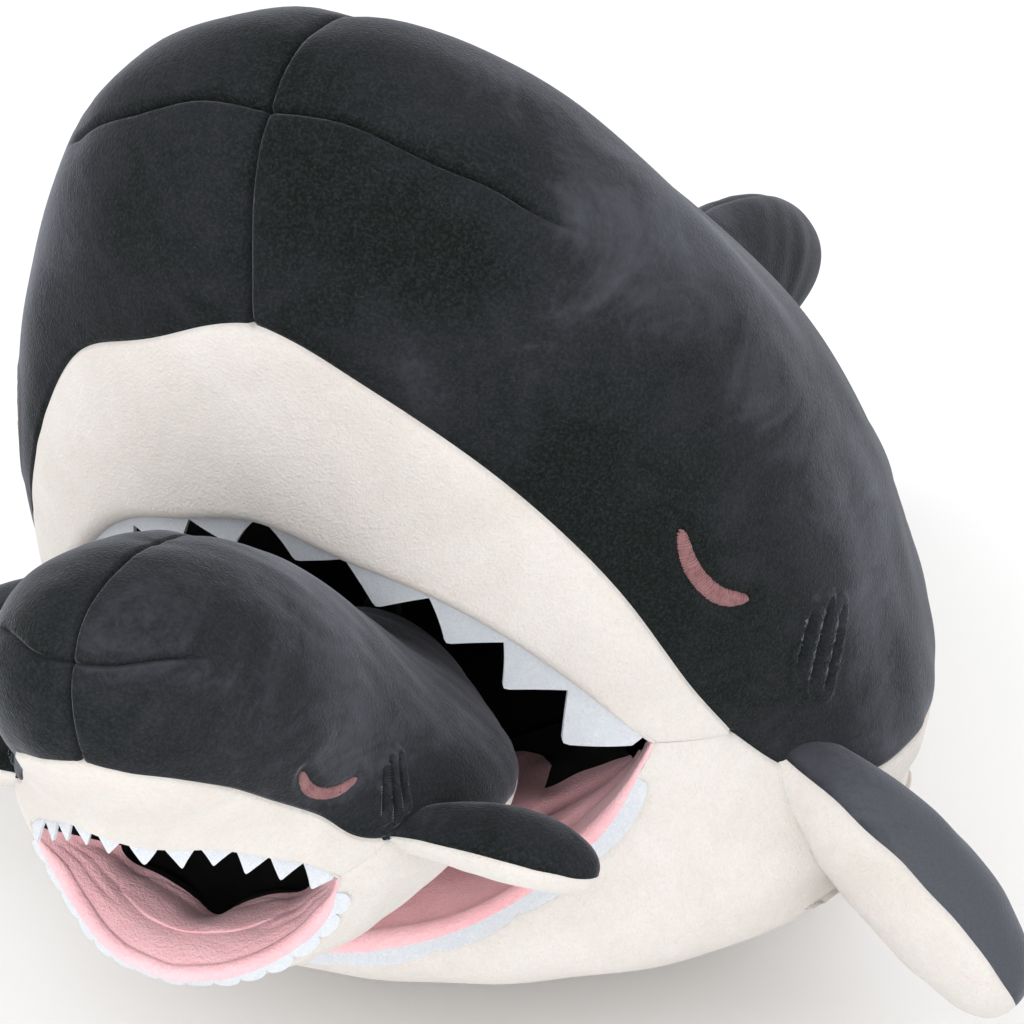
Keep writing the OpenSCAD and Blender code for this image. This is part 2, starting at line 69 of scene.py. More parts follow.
BIG = SimpleNamespace(
    prefix="", body="shark", size=1.0, cloth=1.6, floor=0.0, hub=110.0,
    form=[((0, 19, 216), (126, 168, 85), 58, 1), ((0, 86, 120), (151, 187, 130), 36, 75),
          ((0, 28, 63), (145, 118, 25), 0, 75), ((0, 225, 80), (92, 120, 72), 0, 60),
          ((0, 325, 58), (38, 85, 32), 0, 45)],
    lip=[(0, -95, 213), (26, -93, 206), (54, -85, 195), (84, -67, 172), (103, -49, 148), (114, -36, 132)],
    chin=[(0, -93, 66), (34, -91, 69), (61, -82, 77), (86, -64, 92), (104, -45, 111), (114, -36, 132)],
    band=[(0, -96, 281), (34, -92, 268), (63, -82, 248), (90, -67, 221), (110, -49, 189), (124, -26, 150),
          (133, -9, 127)],
    ridge=[(0, -96, 281), (0, -81, 349), (0, -15, 362), (0, 60, 315), (0, 135, 255), (0, 210, 195),
           (0, 280, 140), (0, 340, 95), (0, 385, 80)],
    side=[(133, -9, 127), (143, 5, 112), (154, 40, 93), (160, 100, 84), (146, 165, 78), (115, 230, 72),
          (72, 295, 66), (38, 345, 60), (26, 385, 58)],
    keel=[(0, -93, 66), (0, -86, 44), (0, -50, 18), (0, 10, 3), (0, 90, 0), (0, 170, 0), (0, 240, 8),
          (0, 300, 22), (0, 345, 30), (0, 385, 36)],
    dart=[(0, -81, 349), (26, -78, 347), (43, -75, 341), (57, -70, 334), (71, -63, 327), (81, -57, 319),
          (92, -47, 310)],
    dart_on=[(122, -8, 262), (141, 28, 200), (150, 50, 140)],
    side_split=(157, 58, 88),
    tail_ring=((0, 385, 58), 27, 22), cap=18, throat=((0, 52, 104), 56, 42),
    eye=[(121, -35, 211), (123, -33, 200), (127, -28, 190), (131, -21, 183), (136, -12, 179)], eye_wide=6.5,
    gills=[[(147, 18, 164), (146, 15, 154), (145, 13, 143)], [(149, 27, 163), (149, 23, 149), (147, 19, 135)],
           [(151, 36, 158), (151, 32, 145), (149, 27, 131)]],
    upper_teeth=(10, (0.3, 9.5), (5.0, 20.0)), lower_teeth=(10, (4.0, 6.0), (4.0, 6.0)),
    pink=(0.36, 0.28), lean=0.2, sag=28.0, fold=1.0, roll=4.6, felt=1.3)

PUP = SimpleNamespace(
    prefix="pup_", body="pup", size=0.45, cloth=1.2, floor=-1000.0, hub=-40.0,
    form=[((0, 0, 0), (56, 115, 49), 34, 1), ((0, 55, -50), (79, 93, 36), 17, 36),
          ((0, 16, -65), (41, 52, 18), -9, 43), ((0, 100, -52), (42, 48, 27), 0, 25)],
    lip=[(0, -54, -23), (14, -53, -22), (27, -47, -24), (38, -36, -30), (46, -26, -36), (50, -21, -42)],
    chin=[(0, -37, -79), (14, -35, -77), (27, -31, -73), (38, -23, -66), (46, -20, -55), (50, -21, -42)],
    band=[(0, -92, 25), (19, -84, 21), (34, -66, 10), (43, -44, -6), (50, -28, -18), (55, -18, -28),
          (63, -6, -34)],
    ridge=[(0, -92, 25), (0, -97, 61), (0, -70, 75), (0, -25, 63), (0, 20, 38), (0, 65, 2), (0, 105, -24),
           (0, 138, -42)],
    side=[(63, -6, -34), (73, 20, -47), (78, 52, -57), (70, 85, -59), (47, 112, -58), (22, 138, -54)],
    keel=[(0, -37, -79), (0, -34, -86), (0, -15, -92), (0, 20, -95), (0, 60, -92), (0, 95, -80),
          (0, 120, -70), (0, 138, -62)],
    dart=[(0, -97, 61), (12, -95, 61), (23, -85, 60), (33, -73, 56)],
    dart_on=[(52, -42, 38), (65, -10, 10), (71, 12, -18)],
    side_split=(73, 22, -48),
    tail_ring=((0, 138, -52), 18, 11), cap=9, throat=((0, 6, -61), 31, 13),
    eye=[(48, -43, 6), (48, -39, -1), (50, -31, -7), (54, -24, -9), (57, -19, -8)], eye_wide=4.4,
    gills=[[(60, -6, -11), (60, -8, -18), (60, -9, -25)], [(61, -2, -9), (62, -4, -18), (62, -5, -27)],
           [(63, 3, -10), (64, 1, -17), (65, -1, -25)]],
    upper_teeth=(11, (1.0, 8.0), (1.0, 7.0)), lower_teeth=(15, (2.0, 5.0), (2.0, 5.0)),
    pink=(0.93, 0.0), lean=-0.5, sag=0.0, fold=0.15, roll=2.6, felt=1.1)


def placed(points, shark):
    """Points of a shark's own guide frame in the row frame."""
    if shark is PUP:
        c, s = math.cos(PUP_TURN), math.sin(PUP_TURN)
        points = points @ np.array([[c, s, 0], [-s, c, 0], [0, 0, 1]]) + PUP_PLACE
    return points - (0, ORIGIN_Y, 0)


# ---------------------------------------------------------------- form


def length(v):
    return np.linalg.norm(v, axis=-1, keepdims=True)


def unit(v):
    return v / np.maximum(length(v), 1e-9)


def ellipsoid(p, centre, radii, pitch):
    q = p - centre
    c, s = math.cos(math.radians(pitch)), math.sin(math.radians(pitch))
    w = np.stack([q[..., 0], q[..., 1] * c - q[..., 2] * s, q[..., 1] * s + q[..., 2] * c], -1)
    r = np.array(radii, float)
    a, b = length(w / r)[..., 0], length(w / (r * r))[..., 0]
    return a * (a - 1) / np.maximum(b, 1e-9)


def soft_min(a, b, k):
    h = np.maximum(k - np.abs(a - b), 0) / k
    return np.minimum(a, b) - h * h * k / 4


def field(p, shark):
    """Negative inside the stuffed shark, zero on its surface, flattened where it rests."""
    d = ellipsoid(p, *shark.form[0][:3])
    for centre, radii, pitch, blend in shark.form[1:]:
        d = soft_min(d, ellipsoid(p, centre, radii, pitch), blend)
    return -soft_min(-d, p[..., 2] - shark.floor, FLOOR_BLEND)


def slope(p, shark, step=0.5):
    return np.stack([(field(p + d, shark) - field(p - d, shark)) / (2 * step) for d in np.eye(3) * step], -1)


def normal(p, shark):
    return unit(slope(p, shark))


def onto(p, shark, rounds=5):
    """Points moved along the slope to the form's surface."""
    for _ in range(rounds):
        g = slope(p, shark)
        p = p - g * (field(p, shark) / (g * g).sum(-1))[..., None]
    return p


# ---------------------------------------------------------------- curves


def smooth_curve(points, mirrored=False, fine=500):
    """Dense natural cubic through the points; a mirrored one crosses x = 0 squarely."""
    p = np.array(points, float)
    skip = 0
    if mirrored:
        skip = len(p) - 1
        p = np.vstack([p[:0:-1] * MIRROR, p])
    h = length(np.diff(p, axis=0))[:, 0]
    t = np.concatenate([[0], np.cumsum(h)])
    a, b = np.eye(len(p)), np.zeros((len(p), 3))
    for i in range(1, len(p) - 1):
        a[i, i - 1:i + 2] = h[i - 1], 2 * (h[i - 1] + h[i]), h[i]
        b[i] = 6 * ((p[i + 1] - p[i]) / h[i] - (p[i] - p[i - 1]) / h[i - 1])
    m = np.linalg.solve(a, b)
    x = np.linspace(t[skip], t[-1], fine)
    i = np.clip(np.searchsorted(t, x) - 1, 0, len(p) - 2)
    u, v, w = (x - t[i])[:, None], (t[i + 1] - x)[:, None], h[i][:, None]
    return ((m[i] * v ** 3 + m[i + 1] * u ** 3) / (6 * w) + (p[i] / w - m[i] * w / 6) * v
            + (p[i + 1] / w - m[i + 1] * w / 6) * u)


def arc(curve):
    return np.concatenate([[0], np.cumsum(length(np.diff(curve, axis=0)))])


def sample(curve, shares):
    """The points at these shares of a curve's length."""
    s = arc(curve)
    return np.stack([np.interp(np.asarray(shares) * s[-1], s, curve[:, k]) for k in range(3)], -1)


def nearest(curve, point):
    return int(np.argmin(length(curve - np.array(point, float))[:, 0]))


def spread(*stops):
    """Shares of a length whose spacing follows (place, spacing) stops."""
    place, gap = np.array(stops, float).T
    x = np.linspace(place[0], place[-1], 4000)
    count = np.concatenate([[0], np.cumsum(np.diff(x) / np.interp((x[1:] + x[:-1]) / 2, place, gap))])
    n = max(2, int(round(count[-1])))
    return np.interp(np.linspace(0, count[-1], n + 1), count, x) / place[-1]


def to_curve(p, curve):
    """Distance from each point to a dense curve, and how far along the curve its nearest point lies."""
    flat, s = p.reshape(-1, 3), arc(curve)
    near = np.empty(len(flat), int)
    for i in range(0, len(flat), 4000):
        part = flat[i:i + 4000]
        d = (part ** 2).sum(1)[:, None] - 2 * part @ curve.T + (curve ** 2).sum(1)
        near[i:i + 4000] = d.argmin(1)
    a = curve[np.clip(near - 1, 0, len(curve) - 2)]
    b = curve[np.clip(near, 0, len(curve) - 2)]
    best = np.full(len(flat), 1e9)
    for start, end in ((a, curve[np.clip(near, 1, None)]), (b, curve[np.clip(near + 1, 1, len(curve) - 1)])):
        e = end - start
        t = np.clip(((flat - start) * e).sum(1) / np.maximum((e * e).sum(1), 1e-9), 0, 1)
        best = np.minimum(best, length(flat - start - t[:, None] * e)[:, 0])
    return best.reshape(p.shape[:-1]), s[near].reshape(p.shape[:-1])


def waves(p, size, seed, count=7):
    """Smooth unevenness of about this size in mm, from -1 to 1, the same on each run."""
    rng = np.random.default_rng(seed)
    total = np.zeros(p.shape[:-1])
    for _ in range(count):
        d = rng.normal(size=3)
        d *= rng.uniform(0.6, 1.5) * 2 * math.pi / (size * np.linalg.norm(d))
        total += np.sin(p @ d + rng.uniform(0, 2 * math.pi))
    return total / count ** 0.5 / 1.6


def fade(x, start, end):
    """0 before start, 1 after end, smooth between."""
    t = np.clip((x - start) / (end - start), 0, 1)
    return t * t * (3 - 2 * t)


# ---------------------------------------------------------------- seams and relief


def prepare(shark):
    """Lays a shark's seams on its form."""
    def laid(points, mirrored=False):
        return onto(smooth_curve(points, mirrored), shark)

    shark.lip_line, shark.chin_line = laid(shark.lip, True), laid(shark.chin, True)
    shark.band_line, shark.ridge_line = laid(shark.band, True), laid(shark.ridge)
    shark.side_line, shark.keel_line = laid(shark.side), laid(shark.keel)
    shark.cheek_line = laid([shark.lip[-1], shark.band[-1]])
    cross, split = nearest(shark.ridge_line, shark.dart[0]), nearest(shark.side_line, shark.side_split)
    dart = [shark.ridge_line[cross], *shark.dart[1:], *shark.dart_on, shark.side_line[split]]
    shark.dart_line = laid(dart, True)
    shark.dart_end = arc(shark.dart_line)[nearest(shark.dart_line, shark.dart[-1])]
    shark.cross, shark.split = cross, split
    shark.eye_line = laid(shark.eye)
    shark.gill_lines = [laid(g) for g in shark.gills]
    centre, wide, high = shark.tail_ring
    a = np.linspace(0, math.pi / 2, 200)[:, None]
    shark.ring_up = onto(centre + np.hstack([wide * np.sin(a), 0 * a, high * np.cos(a)]), shark)
    shark.ring_down = onto(centre + np.hstack([wide * np.sin(a), 0 * a, -high * np.cos(a)]), shark)


def groove(d, deep, narrow, pull_in, broad):
    return -deep * np.exp(-((d / narrow) ** 2)) - pull_in * np.exp(-((d / broad) ** 2))


def relief(p, shark):
    """How far the plush stands off the smooth form: seams, sewn details and uneven filling."""
    k = shark.size
    k_seam = 0.45 + 0.55 * k
    q = np.concatenate([np.abs(p[..., :1]), p[..., 1:]], -1)
    total = 1.5 * k * waves(p, 95 * k, 3) + 0.55 * k * waves(p, 38 * k, 5)
    strong = dict(deep=2.4, narrow=1.0, pull_in=1.5, broad=8.0)
    edge = dict(deep=1.2, narrow=1.0, pull_in=0.9, broad=6.0)
    faint = dict(deep=0.5, narrow=0.9, pull_in=0.3, broad=4.0)
    for curve, form, end in ((shark.ridge_line, strong, None), (shark.dart_line, strong, shark.dart_end),
                             (shark.band_line, edge, None), (shark.side_line, edge, None),
                             (shark.cheek_line, faint, None)):
        d, along = to_curve(q, curve)
        hold = 1.0 if end is None else 1 - fade(along, end - 26 * k, end + 2 * k)
        pucker = np.sin(along / (3.1 * k_seam) + 2 * waves(p, 40 * k, 11)) * np.exp(-d / (4.5 * k_seam))
        total += hold * k_seam * groove(d / k_seam, **form)
        total += hold * k_seam * 0.22 * form["pull_in"] * pucker * (1 - np.exp(-((d / (1.2 * k_seam)) ** 2)))
    # A hollow under the eye's stitches with a soft rim, then the gills' tucks
    d, _ = to_curve(q, shark.eye_line)
    d /= shark.eye_wide / BIG.eye_wide
    total += k_seam * (-1.5 * np.exp(-((d / 4.2) ** 2)) + 0.55 * np.exp(-(((d - 7.5) / 2.6) ** 2)))
    for curve in shark.gill_lines:
        d, along = to_curve(q, curve)
        ends = fade(along, 0, 4 * k) * (1 - fade(along, arc(curve)[-1] - 4 * k, arc(curve)[-1]))
        total += k_seam * ends * (-2.8 * np.exp(-((d / (1.15 * k_seam)) ** 2)))
        total += k_seam * 1.5 * np.exp(-(((d - 2.9 * k_seam) / (1.3 * k_seam)) ** 2))
    return total


def raised(p, shark):
    """Points of the form with their relief."""
    return p + relief(p, shark)[..., None] * normal(p, shark)


# ---------------------------------------------------------------- panels


def patch(start, end, first, last, u, v, shark, hub=None):
    """Points on the form between four curves: start and end run across, first and last along.

    A hub height swells the flat first guess away from that line, so that it reaches a low rounded side."""
    a, b = sample(start, u)[:, None], sample(end, u)[:, None]
    c, d = (first if first.shape == (len(v), 3) else sample(first, v))[None], last[None]
    u, v = u[:, None, None], v[None, :, None]
    corners = (1 - u) * ((1 - v) * a[:1] + v * b[:1]) + u * ((1 - v) * a[-1:] + v * b[-1:])
    inside = (1 - v) * a + v * b + (1 - u) * c + u * d - corners
    if hub is not None:
        swell = 2.0 * u * (1 - u) * np.sin(math.pi * np.clip(v, 0, 1)) ** 0.4
        centre = inside * (0, 1, 0) + (0, 0, hub)
        inside = centre + (inside - centre) * (1 + swell)
    inside = onto(inside, shark)
    for _ in range(2):
        rows = [sample(inside[:, j], u[:, 0, 0]) for j in range(inside.shape[1])]
        inside = onto(np.stack(rows, 1), shark)
    inside[:, 0], inside[:, -1], inside[0], inside[-1] = a[:, 0], b[:, 0], c[0], d[0]
    return inside


def end_cap(grid, shark, steps=7):
    """Rounds a body's end off beyond the tail ring."""
    centre = np.array(shark.tail_ring[0], float)
    ring = grid[:, -1:]
    a = np.linspace(0, math.radians(86), steps + 1)[1:, None]
    cap = centre + (ring - centre) * np.cos(a) + np.array([0, shark.cap, 0]) * np.sin(a)
    return np.concatenate([grid, cap], 1)


def row_scale(shark):
    """Scale of rows, folds and rolls, which shrink less than the shark does."""
    return 0.3 + 0.7 * shark.size


def across_shares(k):
    """Rows from the middle to the side, closer at the seams."""
    return spread((0, 0.6 * k), (9 * k, 4 * k), (120 * k, 4 * k), (145 * k, 1.5 * k), (250 * k, 1.5 * k),
                  (260 * k, 0.6 * k))


def side_rows(shark):
    """Rows of the back before and after the dart line, as shares."""
    k = row_scale(shark)
    before = spread((0, 0.6 * k), (7 * k, 1.5 * k), (62 * k, 1.5 * k), (70 * k, 0.6 * k))
    after = spread((0, 0.6 * k), (9 * k, 4.5 * k), (450 * k, 4.5 * k), (480 * k, 3 * k))
    return before, after


def back_grid(shark):
    u = across_shares(row_scale(shark))
    before, after = side_rows(shark)
    front = patch(shark.band_line, shark.dart_line, shark.ridge_line[:shark.cross + 1],
                  sample(shark.side_line[:shark.split + 1], before), u, before, shark)
    rear = patch(shark.dart_line, shark.ring_up, shark.ridge_line[shark.cross:],
                 sample(shark.side_line[shark.split:], after), u, after, shark)
    grid = raised(np.concatenate([front, rear[:, 1:]], 1), shark)
    grid[0, :, 0] = 0
    return end_cap(grid, shark)


def lip_axes(line, shark, upper, shares):
    """Points along a lip, their outward normals and directions away from the mouth."""
    p = sample(line, shares)
    step = sample(line, np.clip(np.asarray(shares) + 0.004, 0, 1)) - sample(line, np.clip(
        np.asarray(shares) - 0.004, 0, 1))
    n = normal(p, shark)
    away = np.cross(n, unit(step)) * (1 if upper else -1)
    return p, n, unit(away)


def roll_size(shares, shark):
    """Radius of the lip's rolled edge, smaller at the mouth's corner."""
    return shark.roll * (1 - 0.97 * fade(np.abs(shares), 0.72, 1.0))


def lip_roll(base, n, away, radius, angles):
    """Rows that turn round the lip's edge into the mouth, from points radius short of the lip line."""
    r, a = radius[:, None, None], angles[None, :, None]
    return (base - radius[:, None] * n)[:, None] + r * (np.cos(a) * n[:, None] - np.sin(a) * away[:, None])


def whole(half):
    """Both halves as one grid, from the shark's right to its left."""
    return np.concatenate([half[:0:-1] * MIRROR, half])


ROLL_ANGLES = np.radians(np.linspace(14, 165, 12))


def jaw_grid(shark, upper):
    """The band above the mouth, or the belly, with its rolled lip, as one grid."""
    k = row_scale(shark)
    line = shark.lip_line if upper else shark.chin_line
    u = across_shares(k) if upper else spread((0, 3.6 * k), (200 * k, 3.2 * k), (225 * k, 1.2 * k))
    p, _, away = lip_axes(line, shark, upper, np.linspace(0, 1, 300))
    radius = roll_size(np.linspace(0, 1, 300), shark)
    inset = onto(p + radius[:, None] * away, shark)
    inset[0, 0] = 0
    before, after = side_rows(shark)
    if upper:
        v = spread((0, 2 * k), (50 * k, 3 * k), (62 * k, 0.6 * k))
        first = onto(smooth_curve([inset[0], (inset[0] + shark.band_line[0]) / 2, shark.band_line[0]]), shark)
        last = sample(onto(smooth_curve([inset[-1], shark.band_line[-1]]), shark), v)
        grid = patch(inset, shark.band_line, first, last, u, v, shark)
    else:
        cheek = onto(smooth_curve([inset[-1], shark.cheek_line[-1]]), shark)
        edge = np.vstack([sample(cheek, np.linspace(0, 1, 14))[:-1],
                          sample(shark.side_line[:shark.split + 1], before[::2]),
                          sample(shark.side_line[shark.split:], after[1:])])
        s = arc(edge)
        v = s / s[-1]
        v[1:-1] = 0.5 * v[1:-1] + 0.5 * np.linspace(0, 1, len(v))[1:-1]
        keel = np.vstack([inset[:1], shark.keel_line[nearest(shark.keel_line, inset[0]) + 3:]])
        grid = patch(inset, shark.ring_down, keel, edge, u, v, shark, shark.hub)
    lift = relief(grid[:, 0], shark)[:, None]
    radius = roll_size(u, shark)
    base = grid[:, 0] + lift * normal(grid[:, 0], shark)
    _, _, away = lip_axes(line, shark, upper, u)
    edge_normal = normal(grid[:, 0], shark)
    away = unit(away - (away * edge_normal).sum(-1, keepdims=True) * edge_normal)
    rolled = lip_roll(base, edge_normal, away, radius, ROLL_ANGLES)
    grid = raised(grid, shark)
    if not upper:
        grid[..., 2] = np.maximum(grid[..., 2], shark.floor)
        grid = end_cap(grid, shark)
    grid = np.concatenate([rolled[:, ::-1], grid], 1)
    grid[0, :, 0] = 0
    return grid


# ---------------------------------------------------------------- mouth


def lip_point(shark, upper, shares, angle, swell=0.0):
    """Points on a lip's rolled edge at this angle round it, swell outside it, for shares from -1 to 1."""
    shares = np.asarray(shares, float)
    line = shark.lip_line if upper else shark.chin_line
    p, n, away = lip_axes(line, shark, upper, np.abs(shares))
    r = roll_size(shares, shark)[:, None]
    a = math.radians(angle)
    edge = onto(p + r * away, shark)
    n = normal(edge, shark)
    away = unit(away - (away * n).sum(-1, keepdims=True) * n)
    edge = edge + (relief(edge, shark)[:, None] - r) * n
    point = edge + (r + swell) * (math.cos(a) * n - math.sin(a) * away)
    flip = np.where(shares[:, None] < 0, MIRROR, 1.0)
    flip = flip * np.where(np.abs(shares[:, None]) < 1e-6, (0, 1, 1), 1.0)
    return point * flip, n * flip, away * flip


def pocket_grid(shark, upper, start_at=0.0, end_at=1.0, rows=34, columns=151):
    """Mouth surface from over a lip to the throat, puffed and softly folded."""
    k = row_scale(shark)
    t = np.sin(np.linspace(-1, 1, columns) * math.pi / 2) * 0.35 + np.linspace(-1, 1, columns) * 0.65
    start = lip_point(shark, upper, t, 150)[0]
    centre, wide, high = shark.throat
    a, sign = t * math.pi / 2, 1 if upper else -1
    end = np.array(centre, float) + np.stack([wide * np.sin(a), 0 * a, sign * high * np.cos(a)], -1)
    x = t[:, None]
    lo, hi = (np.zeros_like(x) + s if np.isscalar(s) else s(x) for s in (start_at, end_at))
    v = lo + (hi - lo) * np.linspace(0, 1, rows)[None]
    grid = start[:, None] * (1 - v[..., None]) + end[:, None] * v[..., None]
    if upper:
        grid[..., 2] += 9.6 * k * np.sin(math.pi * v) * np.cos(x * math.pi / 2)
        return grid
    sag = fade(v, 0.0, 0.5) * (1 - v)
    grid[..., 2] -= shark.sag * sag * x ** 4
    puff = np.sin(math.pi * np.clip(v * 1.25, 0, 1)) ** 0.8
    notch = np.exp(-((x / 0.13) ** 2)) * fade(v, 0.25, 1.0)
    lobes = np.exp(-(((np.abs(x) - 0.42) / 0.26) ** 2)) * fade(v, 0.35, 1.0)
    side = fade(np.abs(x), 0.35, 0.6)
    folds = sum(shark.fold * deep * np.exp(-(((v - at * (1.25 - 0.5 * x * x)) / 0.035) ** 2)) for at, deep in
                ((0.20, 8.0), (0.38, 6.0)))
    up = (7.0 * puff * np.cos(x * math.pi / 2) ** 0.5 - 9.0 * notch + 6.0 * lobes - folds * side) * k
    up += 1.0 * k * waves(grid, 26 * k, 21) * np.sin(math.pi * v)
    grid[..., 2] += up * np.minimum(1, 1.3 - np.abs(x) ** 6)
    if np.isscalar(start_at):
        over = [lip_point(shark, False, t, angle, 0.5 * k)[0] for angle in (8, 25, 44, 62, 78, 96, 116, 136)]
        grid = np.concatenate([np.stack(over, 1), grid], 1)
    return grid


def pink_end(shark):
    """How far the lower lining's pink cloth reaches from the lip to the throat, by place across the mouth."""
    least, more = shark.pink
    return lambda x: least + more * np.cos(np.clip(x, -1, 1) * math.pi / 2) ** 0.7


def throat_grid(shark, columns=80, rows=16):
    """Black end of the mouth, a bowl behind the throat's edge."""
    centre, wide, high = shark.throat
    a = np.linspace(0, 2 * math.pi, columns)[:, None]
    v = np.linspace(0, 1, rows)[None, :]
    r = 1.12 * np.cos(v * math.pi / 2 * 0.97)
    k = row_scale(shark)
    return np.array(centre, float) + np.stack([wide * np.sin(a) * r, -5 * k + 16 * k * np.sin(v * math.pi / 2)
                                               + 0 * a, high * np.cos(a) * r * 1.1], -1)


def tooth_edge(phase):
    """Height of a tooth's edge from valley 0 to tip 1, with a rounded tip, at phases 0 to 1."""
    peak = 1 - np.abs(2 * phase - 1)
    return np.where(peak > 0.9, 0.9 + 0.05 * (1 - ((1 - peak) / 0.1) ** 2), peak) / 0.95


def teeth_grid(shark, upper, rows=9, per_tooth=18):
    """Zigzag strip of felt along a lip: the upper one hangs into the mouth, the lower one folds outwards."""
    count, middle, corner = shark.upper_teeth if upper else shark.lower_teeth
    reach, angle, lean, swell = (0.97, 108, shark.lean, -0.6) if upper else (0.92, 16, 0.25, 0.2)
    shares = np.linspace(-reach, reach, count * per_tooth + 1)
    point, n, away = lip_point(shark, upper, shares, angle, swell)
    c = np.sin(1.5 * np.abs(shares) / reach)
    phase = np.linspace(0, count, len(shares)) % 1.0
    valley, tip = (low + (high - low) * c for low, high in zip(middle, corner))
    uneven = 1 + 0.06 * np.sin(np.floor(np.linspace(0, count - 1e-6, len(shares))) * 2.4)
    edge = tooth_edge(phase) if upper else np.sqrt(np.clip(1 - (2 * phase - 1) ** 2, 0, 1))
    height = valley + (tip - valley) * edge * uneven
    v = np.linspace(-0.25 if upper else 0.0, 1, rows)[None, :, None]
    curl = 0.09 * np.sin(np.linspace(0, 9, len(shares)))[:, None]
    way = (-1 if upper else 1) * (away + (lean + curl) * n)
    return point[:, None] + v * height[:, None, None] * way[:, None], n


def tongue_grid(shark, columns=44, rows=40):
    """Upper face of the tongue: two soft lobes over the lining, parted at the middle."""
    fine_rows, fine_columns = 60, 200
    lining = pocket_grid(shark, False, rows=fine_rows, columns=fine_columns)[:, -fine_rows:]
    k = row_scale(shark)
    v = np.linspace(0.30, 0.93, rows)[None, :]
    x = np.linspace(-1, 1, columns)[:, None]
    middle = 0.615
    wide = 0.5 * np.sqrt(np.clip(1 - np.abs(2 * (v - middle) / 0.64) ** 3, 0.02, 1))
    i = np.clip(((x * wide + 1) / 2 * (fine_columns - 1)), 0, fine_columns - 1).round().astype(int)
    j = (v * (fine_rows - 1)).round().astype(int) + 0 * i
    rise = np.sqrt(np.clip(1 - x ** 2, 0, 1)) * np.sqrt(np.clip(1 - (2 * (v - middle) / 0.66) ** 4, 0, 1))
    top = lining[i, j] + np.stack([0 * rise, 0 * rise, (0.3 + 1.4 * rise) * k], -1)
    under = lining[i, j] - np.array([0, 0, 1.0])
    for _ in range(3):
        top[1:-1, 1:-1] = (top[:-2, 1:-1] + top[2:, 1:-1] + top[1:-1, :-2] + top[1:-1, 2:]) / 4
    return top, under


# ---------------------------------------------------------------- solids


def grid_faces(m, n, offset=0):
    a = (np.arange(m - 1)[:, None] * n + np.arange(n - 1)[None]).ravel() + offset
    return np.stack([a, a + 1, a + n + 1, a + n], 1)


def closed_sheet(outer, inner):
    """Points and faces of a sheet between two grids of one size."""
    m, n = outer.shape[:2]
    k = m * n
    j, i = np.arange(n), np.arange(m)
    rim = np.concatenate([j, (i * n + n - 1)[1:], ((m - 1) * n + j)[::-1][1:], (i * n)[::-1][1:]])
    edge = np.stack([rim[1:], rim[:-1], rim[:-1] + k, rim[1:] + k], 1)
    faces = np.concatenate([grid_faces(m, n), grid_faces(m, n, k)[:, ::-1], edge])
    return np.concatenate([outer.reshape(-1, 3), inner.reshape(-1, 3)]), faces


def grid_normals(grid):
    return unit(np.cross(np.gradient(grid, axis=0), np.gradient(grid, axis=1)))


def thick(grid, cloth, beyond):
    """A sheet whose hidden face lies on the side of the point beyond."""
    n = grid_normals(grid)
    side = np.sign(((np.array(beyond, float) - grid) * n).sum(-1).mean())
    return closed_sheet(grid, grid + side * cloth * n)


def tube(points, radius, sides=7):
    """Closed tube along points, rounded off at its ends."""
    p = np.asarray(points, float)
    t = unit(np.gradient(p, axis=0))
    up = np.array([0.3, 0.2, 1.0])
    a = unit(np.cross(t, up))
    b = np.cross(a, t)
    r = radius * np.sqrt(np.clip(1 - np.linspace(-1, 1, len(p)) ** 8, 0.12, 1))[:, None, None]
    g = np.linspace(0, 2 * math.pi, sides, endpoint=False)[None, :, None]
    rings = p[:, None] + r * (np.cos(g) * a[:, None] + np.sin(g) * b[:, None])
    m = len(p)
    i = (np.arange(m - 1)[:, None] * sides).repeat(sides, 1)
    j = np.arange(sides)[None]
    after = (j + 1) % sides
    wall = np.stack([i + j, i + after, i + sides + after, i + sides + j], -1).reshape(-1, 4)
    ends = [list(range(sides))[::-1], [(m - 1) * sides + s for s in range(sides)]]
    return rings.reshape(-1, 3), [*wall.tolist(), *ends]


def joined(parts):
    """Several solids as one set of points and faces."""
    points, faces, at = [], [], 0
    for p, f in parts:
        points.append(p)
        faces += [[v + at for v in face] for face in (f.tolist() if hasattr(f, "tolist") else f)]
        at += len(p)
    return np.concatenate(points), faces


def pulled_up(points):
    """The large shark's right cheek, where the stuffing pushes the band's seam up along the form."""
    centre, reach, most = (-78, -75, 232), (46, 60, 38), 15
    off = (points - centre) / reach
    n = normal(points, BIG)
    lift = most * np.exp(-(off ** 2).sum(-1, keepdims=True))
    return points + lift * (np.array([0, 0, 1.0]) - n[:, 2:] * n)


def add_mesh(name, solid, shark, slot, mirrored=False):
    """A piece from points in a shark's guide frame, in millimetres."""
    points, faces = solid
    faces = faces.tolist() if hasattr(faces, "tolist") else faces
    if mirrored:
        points = points * MIRROR
    if shark is BIG:
        points = pulled_up(points)
    quads = np.array([f for f in faces if len(f) == 4])
    q = points[quads] - points.mean(0)
    signed = (q[:, 0] * (np.cross(q[:, 1], q[:, 2]) + np.cross(q[:, 2], q[:, 3]))).sum()
    if signed < 0:
        faces = [f[::-1] for f in faces]
    mesh = bpy.data.meshes.new(name)
    mesh.from_pydata((placed(points, shark) * MM).tolist(), [], faces)
    mesh.validate()
    mesh.polygons.foreach_set("use_smooth", [True] * len(mesh.polygons))
    mesh.set_sharp_from_angle(angle=math.radians(55))
    mesh.update()
    piece = bpy.data.objects.new(name, mesh)
    bpy.context.scene.collection.objects.link(piece)
    piece.data.materials.append(MATERIALS[slot])
    return piece


# ---------------------------------------------------------------- materials


